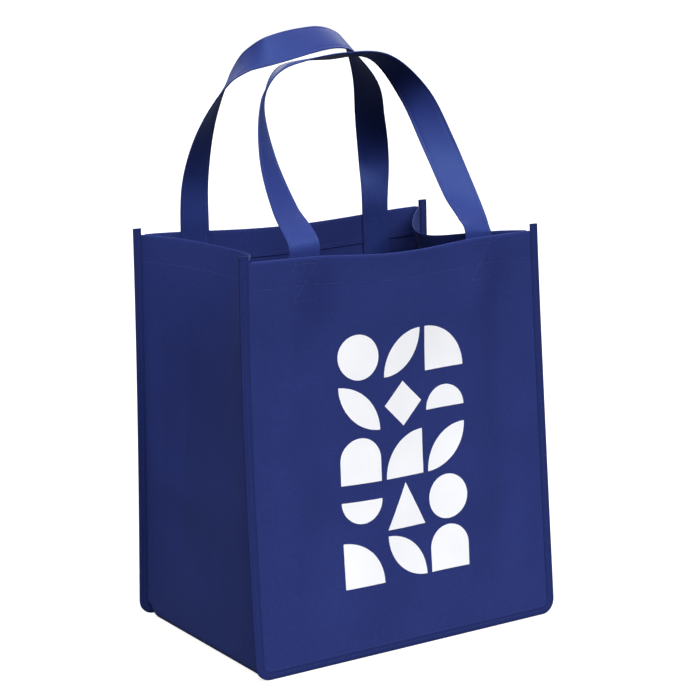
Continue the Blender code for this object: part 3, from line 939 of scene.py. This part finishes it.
class Finish:
    """A material, its nodes added one by one."""

    def __init__(self, name, **fixed):
        self.material = bpy.data.materials.new(name)
        self.material.use_nodes = True
        self.tree = self.material.node_tree
        self.shader = self.tree.nodes["Principled BSDF"]
        for socket, value in fixed.items():
            self.shader.inputs[socket.replace("_", " ")].default_value = value

    def node(self, kind, settings, sockets, output=0):
        """Add a node, set it up, and give or link its sockets; the result is one output."""
        node = self.tree.nodes.new(kind)
        for key, value in settings.items():
            setattr(node, key, value)
        for key, value in (sockets.items() if isinstance(sockets, dict) else enumerate(sockets)):
            if isinstance(value, Value):
                self.tree.links.new(value.socket, node.inputs[key])
            else:
                node.inputs[key].default_value = value
        return Value(self, node.outputs[output])

    def place(self):
        """Object coordinates, in metres."""
        return self.node("ShaderNodeTexCoord", {}, {}, "Object")

    def grain(self):
        """The cloth's own coordinates, in metres along its cut."""
        return self.node("ShaderNodeUVMap", {"uv_map": "Grain"}, {})

    def turned(self, vector, degrees, scale):
        """The vector turned in its plane and scaled."""
        sockets = {"Vector": vector, "Rotation": (0, 0, math.radians(degrees)), "Scale": scale}
        return self.node("ShaderNodeMapping", {}, sockets)

    def clouds(self, vector, scale, detail=2.0, roughness=0.5):
        """Soft noise from 0 to 1."""
        sockets = {"Vector": vector, "Scale": scale, "Detail": detail, "Roughness": roughness}
        return self.node("ShaderNodeTexNoise", {}, sockets, "Fac")

    def between(self, value, low, high):
        """0 where value is low or less, 1 where it is high or more."""
        sockets = {"Value": value, "From Min": low, "From Max": high, "To Min": 0.0, "To Max": 1.0}
        return self.node("ShaderNodeMapRange", {"interpolation_type": "SMOOTHSTEP"}, sockets)

    def mix(self, share, first, second):
        """One colour over another."""
        settings = {"data_type": "RGBA"}
        return self.node("ShaderNodeMix", settings, {0: share, 6: first, 7: second}, 2)

    def toned(self, shade, colour, dark, light):
        """The colour, times dark where shade is 0 and times light where it is 1."""
        paint = self.node("ShaderNodeValToRGB", {}, [shade], "Color")
        stops = paint.socket.node.color_ramp.elements
        stops.new(0.5)
        for stop, share in zip(stops, (dark, 1.0, light)):
            stop.color = tone(colour, share)
        return paint

    def attribute(self, name):
        return self.node("ShaderNodeAttribute", {"attribute_name": name}, {}, "Fac")

    def use(self, colour=None, roughness=None, height=None, strength=1.0, distance=0.0002):
        """Feed the shader."""
        inputs = self.shader.inputs
        if colour:
            self.tree.links.new(colour.socket, inputs["Base Color"])
        if roughness:
            self.tree.links.new(roughness.socket, inputs["Roughness"])
        if height:
            sockets = {"Strength": strength, "Distance": distance, "Height": height}
            bump = self.node("ShaderNodeBump", {}, sockets)
            self.tree.links.new(bump.socket, inputs["Normal"])
        return self.material


def tone(colour, share):
    """A colour made lighter or darker."""
    return tuple(min(channel * share, 1.0) for channel in colour[:3]) + (1.0,)


NAVY = (0.0170, 0.0276, 0.138, 1.0)
# The tape is darker than the cloth: partly its own tone, partly painted shade for the shadow along
# the seam flanges.
NAVY_TAPE = (0.0120, 0.0208, 0.108, 1.0)
NAVY_WEBBING = (0.0166, 0.0280, 0.142, 1.0)
NAVY_THREAD = (0.024, 0.034, 0.155, 1.0)
WHITE_INK = (0.80, 0.81, 0.84, 1.0)
GREY_BOARD = (0.21, 0.21, 0.22, 1.0)
FLOOR_WHITE = (0.84, 0.84, 0.84, 1.0)


def fibres(finish, grain):
    """Fine strands that lie across each other, as in spun-bonded cloth, from 0 to 1."""
    strands = None
    for degrees in (12, 71, 133):
        stretched = finish.turned(grain, degrees, (2600, 260, 1))
        layer = finish.clouds(stretched, 1.0, 1.0)
        strands = layer if strands is None else strands.at_least(layer)
    return finish.between(strands, 0.42, 0.78)


def bond_points(finish, grain, pitch, degrees=45):
    """The small pressed points of spun-bonded cloth: 1 inside a point, 0 between them."""
    cells = finish.turned(grain, degrees, (1 / pitch, 1 / pitch, 1))
    sockets = {"Vector": cells, "Scale": 1.0, "Randomness": 0.0}
    away = finish.node("ShaderNodeTexVoronoi", {"voronoi_dimensions": "2D"}, sockets, "Distance")
    return 1 - finish.between(away, 0.20, 0.36)


def cloth_finish(name, colour, pitch=0.0017, rub_and_highlight=True):
    """Spun-bonded cloth: clouded, fibrous, pressed with a grid of points."""
    finish = Finish(name, Sheen_Weight=0.04, Sheen_Roughness=0.45,
                    Sheen_Tint=(0.45, 0.55, 1.0, 1.0), Specular_IOR_Level=0.10)
    grain = finish.grain()
    place = finish.place()
    clouds = finish.clouds(place, 420.0, 3.0, 0.6)
    patches = finish.clouds(place, 14.0)
    strands = fibres(finish, grain)
    points = bond_points(finish, grain, pitch)
    shade = (clouds - 0.5) * 0.9 + (strands - 0.4) * 0.28 + (patches - 0.5) * 0.5 - points * 0.16
    # Lighter by wear at rims, seams and the gusset crease, plus a painted highlight along the rim's
    # fold.
    if rub_and_highlight:
        shade = shade + finish.attribute("RubAndHighlight") * 0.2
    shade = shade * 0.5 + 0.5
    paint = finish.toned(shade, colour, 0.62, 1.75)
    roughness = 0.74 - points * 0.16 + (clouds - 0.5) * 0.12
    height = strands * 0.55 + clouds * 0.7 - points * 0.9
    return finish.use(paint, roughness, height, 0.55, 0.00016)


def webbing_finish(name, colour):
    """Folded band of spun-bonded cloth with a satin face and fine lengthwise lines."""
    finish = Finish(name, Sheen_Weight=0.15, Sheen_Roughness=0.35,
                    Sheen_Tint=(0.25, 0.45, 1.0, 1.0), Specular_IOR_Level=0.30,
                    Specular_Tint=(0.30, 0.48, 1.0, 1.0))
    grain = finish.grain()
    lines = finish.clouds(finish.turned(grain, 0, (2200, 60, 1)), 1.0, 1.0)
    clouds = finish.clouds(finish.place(), 260.0, 3.0, 0.6)
    patches = finish.clouds(finish.place(), 22.0)
    points = bond_points(finish, grain, 0.0013)
    shade = (lines - 0.5) * 0.7 + (clouds - 0.5) * 0.6 + (patches - 0.5) * 0.35 - points * 0.12
    shade = shade * 0.5 + 0.5
    paint = finish.toned(shade, colour, 0.66, 1.5)
    roughness = 0.50 - points * 0.08 + (lines - 0.5) * 0.16
    height = lines * 0.8 + clouds * 0.4 - points * 0.5
    return finish.use(paint, roughness, height, 0.4, 0.00012)


def thread_finish(name, colour):
    """Twisted thread."""
    finish = Finish(name, Specular_IOR_Level=0.45)
    place = finish.place()
    twist = finish.clouds(finish.turned(place, 38, (3000, 900, 2600)), 1.0, 1.0)
    paint = finish.mix(twist, tone(colour, 0.7), tone(colour, 1.45))
    roughness = twist * 0.2 + 0.45
    return finish.use(paint, roughness, twist, 0.5, 0.0001)


def ink_finish(name, colour):
    """Screen ink: nearly opaque, with the cloth's pressed points showing through."""
    finish = Finish(name, Specular_IOR_Level=0.4)
    place = finish.place()
    upright = {"Vector": place, "Rotation": (math.radians(90), 0, 0)}
    flat = finish.node("ShaderNodeMapping", {}, upright)
    points = bond_points(finish, flat, 0.0017)
    clouds = finish.clouds(place, 500.0, 3.0, 0.65)
    patches = finish.clouds(place, 40.0)
    thin = finish.between(clouds, 0.60, 0.78) * 0.16 + points * 0.05 + (patches - 0.5) * 0.10
    paint = finish.mix(thin.at_least(0.0), colour, tone(NAVY, 3.5))
    roughness = 0.52 + points * 0.1 + (clouds - 0.5) * 0.2
    height = clouds * 0.6 - points * 0.8
    return finish.use(paint, roughness, height, 0.45, 0.00012)


def board_finish(name, colour):
    """Stiff recycled plastic board: faintly ribbed, scuffed."""
    finish = Finish(name, Specular_IOR_Level=0.45)
    place = finish.place()
    ribs = finish.node("ShaderNodeTexWave", {"wave_type": "BANDS", "bands_direction": "Y"},
                       {"Vector": place, "Scale": 52.0, "Distortion": 0.15, "Detail": 1.0}, "Fac")
    speckle = finish.clouds(place, 900.0, 2.0, 0.6)
    scuffs = finish.clouds(finish.turned(place, 20, (30, 140, 30)), 1.0, 4.0, 0.6)
    shade = (speckle - 0.5) * 0.5 + finish.between(scuffs, 0.56, 0.75) * 0.25 + ribs * 0.06 + 0.42
    paint = finish.mix(shade, tone(colour, 0.7), tone(colour, 1.5))
    roughness = 0.55 + (speckle - 0.5) * 0.15
    height = ribs * 0.6 + speckle * 0.3
    return finish.use(paint, roughness, height, 0.35, 0.0003)


def floor_finish():
    """Pale matt floor, bright enough to run into the backdrop."""
    finish = Finish("Pale floor", Emission_Strength=0.80, Roughness=0.9, Specular_IOR_Level=0.1)
    finish.shader.inputs["Emission Color"].default_value = (1, 1, 1, 1)
    mottle = finish.clouds(finish.place(), 3.0)
    paint = finish.mix(mottle, tone(FLOOR_WHITE, 0.29), tone(FLOOR_WHITE, 0.31))
    return finish.use(paint)


def backdrop_finish():
    """Plain white backdrop that gives its own light."""
    finish = Finish("Pale backdrop", Emission_Strength=1.02, Roughness=1.0, Specular_IOR_Level=0.0)
    finish.shader.inputs["Base Color"].default_value = (0, 0, 0, 1)
    finish.shader.inputs["Emission Color"].default_value = (1, 1, 1, 1)
    return finish.material


# Studio

ROOM = 7.0                 # radius of the floor and the backdrop
ROOM_LIGHT = 0.14          # even light from all round

# Soft lights: azimuth, elevation, strength and degrees across
SUNS = {
    "key_light": (-52, 57, 3.3, 34),
    "front_light": (14, 49, 3.0, 44),
    "back_light": (150, 38, 2.3, 60),
}

# The camera: its angle, its lens in millimetres, what it aims at and how far off it stands
CAMERA_AZIMUTH = -34.05
CAMERA_ELEVATION = 12.5
CAMERA_LENS = 109.54
CAMERA_AIM = (0, 0.0055, 0.1985)
CAMERA_DISTANCE = 2.108
CAMERA_RIGHT = 0.0057
CAMERA_UP = 0.0706


def make_studio():
    """Pale floor, backdrop, soft lights and the camera at the photograph's angle."""
    mesh = bmesh.new()
    bmesh.ops.create_circle(mesh, cap_ends=True, segments=96, radius=ROOM)
    floor = stage_piece("floor", mesh, floor_finish())
    mesh = bmesh.new()
    bmesh.ops.create_uvsphere(mesh, u_segments=48, v_segments=24, radius=ROOM)
    bmesh.ops.reverse_faces(mesh, faces=mesh.faces)
    dome = stage_piece("backdrop", mesh, backdrop_finish())
    for piece in (floor, dome):
        piece.visible_diffuse = False
        piece.visible_glossy = False
        piece.visible_transmission = False
    dome.visible_shadow = False

    world = bpy.data.worlds.new("Studio")
    world.use_nodes = True
    background = world.node_tree.nodes["Background"]
    background.inputs["Color"].default_value = (1, 1, 1, 1)
    background.inputs["Strength"].default_value = ROOM_LIGHT
    bpy.context.scene.world = world

    for name, settings in SUNS.items():
        add_sun(name, *settings)
    add_camera()
    bpy.context.scene.view_settings.view_transform = "Standard"


def stage_piece(name, mesh, finish):
    """Put a mesh of the studio's own into the scene."""
    piece = place_piece(name, mesh)
    piece.data.materials.append(finish)
    return piece


def looking_from(azimuth, elevation):
    """The direction from the bag towards azimuth and elevation, in degrees."""
    a, e = math.radians(azimuth), math.radians(elevation)
    return Vector((math.sin(a) * math.cos(e), -math.cos(a) * math.cos(e), math.sin(e)))


def add_sun(name, azimuth, elevation, strength, softness):
    """A soft light from azimuth and elevation, softness degrees across."""
    lamp = bpy.data.lights.new(name, "SUN")
    lamp.energy = strength
    lamp.angle = math.radians(softness)
    light = bpy.data.objects.new(name, lamp)
    bpy.context.scene.collection.objects.link(light)
    light.rotation_mode = "QUATERNION"
    light.rotation_quaternion = looking_from(azimuth, elevation).to_track_quat("Z", "Y")


def add_camera():
    """The camera, where it stood for the photograph."""
    lens = bpy.data.cameras.new("camera")
    lens.sensor_width = 36
    lens.lens = CAMERA_LENS
    camera = bpy.data.objects.new("camera", lens)
    bpy.context.scene.collection.objects.link(camera)
    back = looking_from(CAMERA_AZIMUTH, CAMERA_ELEVATION)
    aside = math.radians(CAMERA_AZIMUTH)
    right = Vector((math.cos(aside), math.sin(aside), 0))
    up = back.cross(right)
    stand = Vector(CAMERA_AIM) + back * CAMERA_DISTANCE + right * CAMERA_RIGHT + up * CAMERA_UP
    turn = Matrix((right, up, back)).transposed().to_4x4()
    camera.matrix_world = Matrix.Translation(stand) @ turn
    bpy.context.scene.camera = camera


def main():
    cloth = cloth_finish("Navy cloth", NAVY)
    tape = cloth_finish("Navy tape", NAVY_TAPE, 0.0014, rub_and_highlight=False)
    webbing = webbing_finish("Navy webbing", NAVY_WEBBING)
    thread = thread_finish("Navy thread", NAVY_THREAD)

    front, back = (make_panel(side, cloth) for side in FACES)
    gusset = make_gusset_strip(cloth)
    for side in FACES:
        make_binding(side, tape)
    for side in FACES:
        make_handle(side, webbing)
    make_board(board_finish("Grey board", GREY_BOARD))
    make_print(ink_finish("White ink", WHITE_INK))

    front_thread, back_thread = (panel_thread(side, thread) for side in FACES)
    left_thread = gusset_thread("left_hem_thread", -1, thread)
    right_thread = gusset_thread("right_hem_thread", 1, thread)
    for side in FACES:
        binding_thread(side, thread)
    for side in FACES:
        handle_thread(side, thread)

    make_studio()


main()
bpy.context.view_layer.update()
